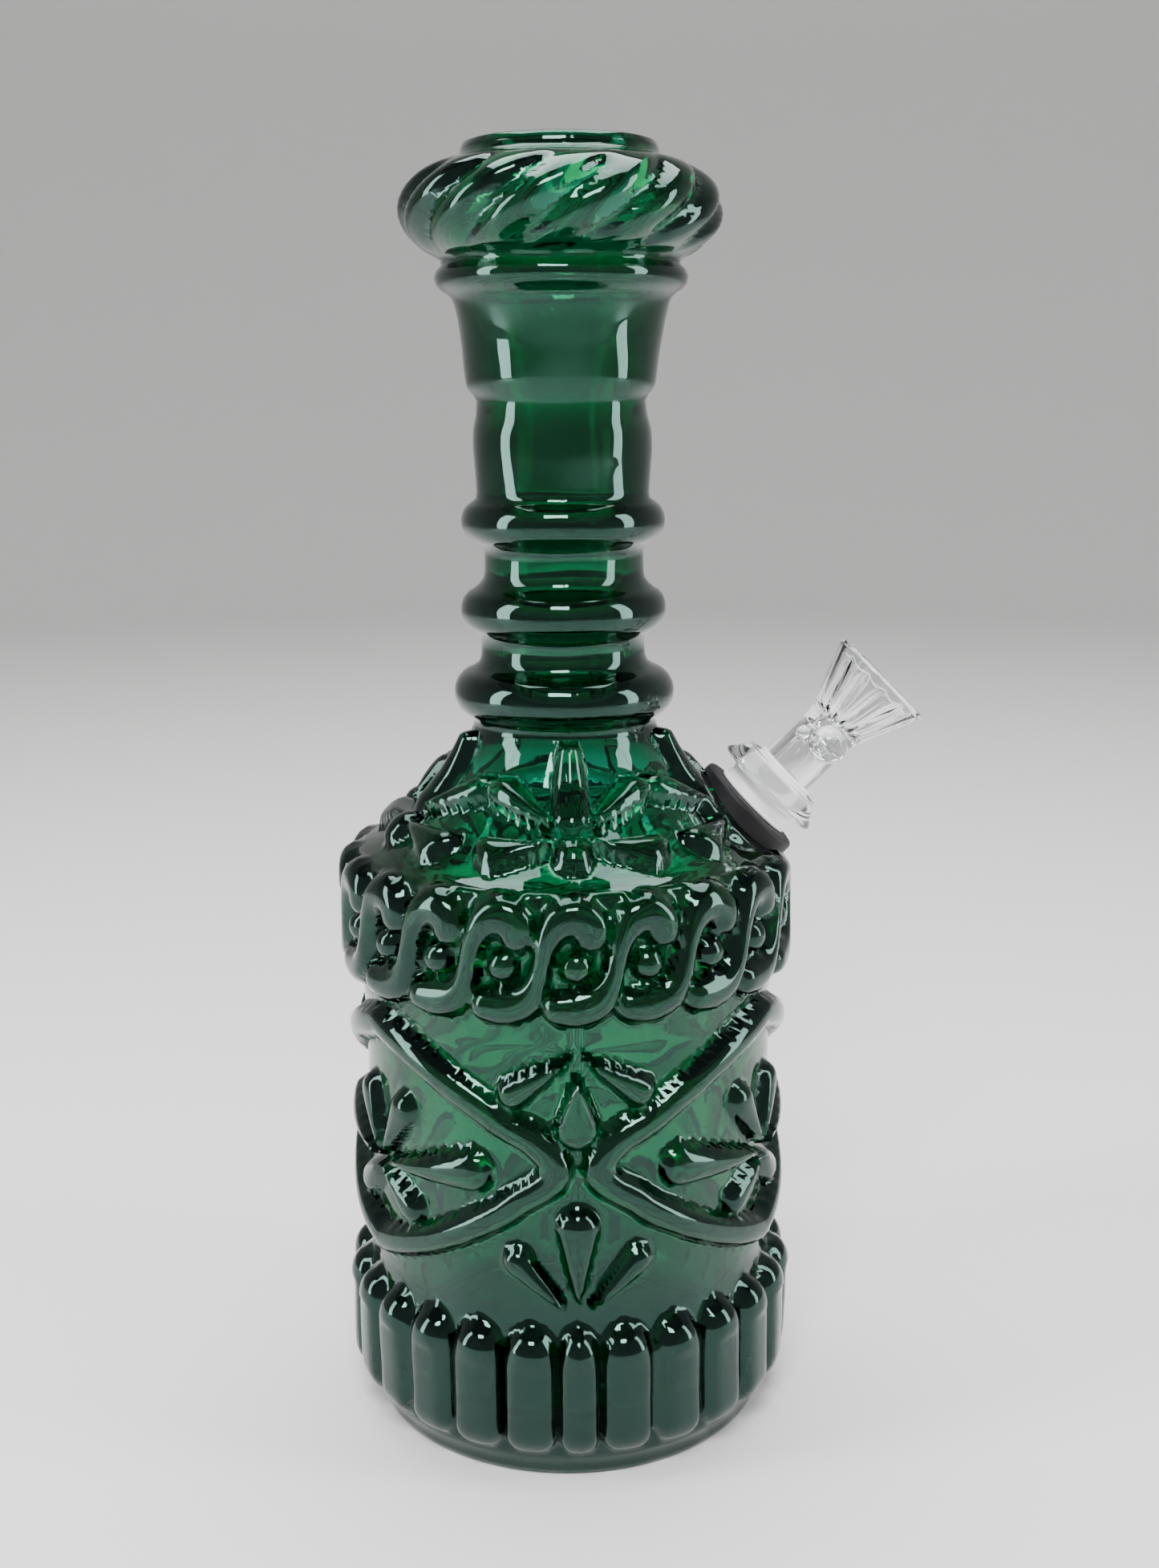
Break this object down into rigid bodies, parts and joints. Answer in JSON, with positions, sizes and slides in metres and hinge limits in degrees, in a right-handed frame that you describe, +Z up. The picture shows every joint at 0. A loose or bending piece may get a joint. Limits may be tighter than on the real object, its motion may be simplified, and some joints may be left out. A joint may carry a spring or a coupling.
{
  "type": "glass decanter water pipe",
  "caption": "Green pressed-glass decanter with a twisted bulb and ringed neck, a rubber grommet in its shoulder, a glass downstem and a lift-out funnel bowl.",
  "frame": {"origin": "centre of the foot, on the surface the bottle stands on", "axes": "+Z up along the bottle's axis; the drilled shoulder, the downstem and the bowl face +X; the front is -Y"},
  "size_m": [0.1303, 0.1032, 0.28],
  "materials": {
    "green_glass": "thick emerald pressed glass, fire polished",
    "rubber": "matt black moulded rubber",
    "ground_glass": "ground, frosted white",
    "clear_glass": "clear lamp-worked glass"
  },
  "bodies": {
    "bottle_body": {"bottle": "green_glass", "grommet": "rubber"},
    "downstem": {"downstem_socket": "ground_glass", "downstem_skirt": "clear_glass", "downstem_tube": "clear_glass"},
    "bowl": {"bowl_joint": "ground_glass", "bowl_stem": "clear_glass", "bowl_funnel": "clear_glass", "bowl_marble": "clear_glass", "bowl_dot": "clear_glass"}
  },
  "joints": [
    {"name": "downstem_pull", "type": "slide", "parent": "bottle_body", "child": "downstem", "axis": [0.712, 0, 0.7022], "range_m": [0, 0.1]},
    {"name": "bowl_lift", "type": "slide", "parent": "downstem", "child": "bowl", "axis": [0.712, 0, 0.7022], "range_m": [0, 0.025]}
  ]
}
